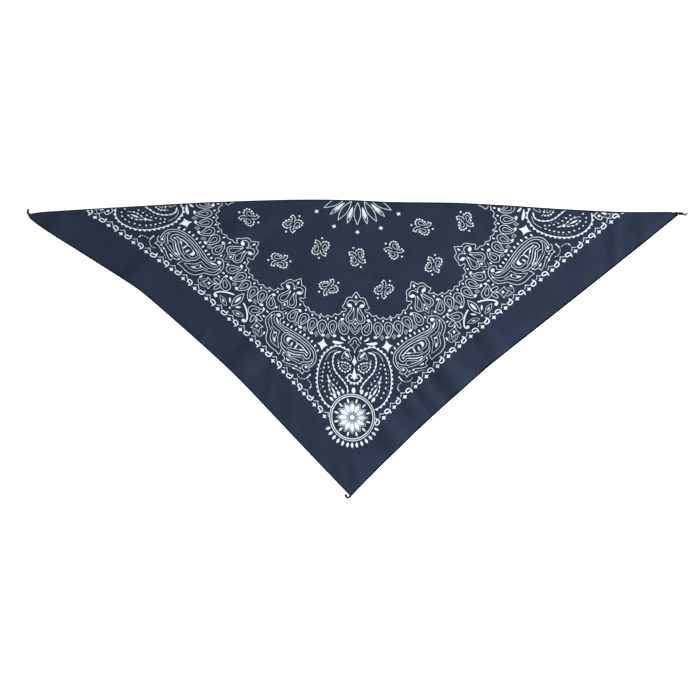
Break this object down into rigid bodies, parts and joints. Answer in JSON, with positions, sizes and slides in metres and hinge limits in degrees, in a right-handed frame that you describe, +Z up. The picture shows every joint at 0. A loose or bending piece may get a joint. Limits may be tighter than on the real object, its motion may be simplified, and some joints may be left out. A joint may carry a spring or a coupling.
{
  "type": "dog bandana",
  "caption": "Triangular printed cloth bandana for a dog's neck, overlocked on all its edges with short thread tails at the corners, lying flat and unfolded.",
  "frame": {"origin": "on the surface the bandana lies on, under the middle of its bounding box", "axes": "+X along the long neck edge, from the left tip to the right tip; +Y from the point of the triangle to the neck edge; +Z up, through the cloth"},
  "size_m": [0.8332, 0.3762, 0.0033],
  "materials": {
    "printed_cloth": "thin plain-weave navy cotton with a white paisley print",
    "overlock_thread": "near-black navy sewing thread"
  },
  "bodies": {
    "root": {"panel": "printed_cloth", "edge_left": "overlock_thread", "edge_right": "overlock_thread", "edge_neck": "overlock_thread", "tail_left": "overlock_thread", "tail_right": "overlock_thread", "tail_point": "overlock_thread"}
  },
  "joints": []
}
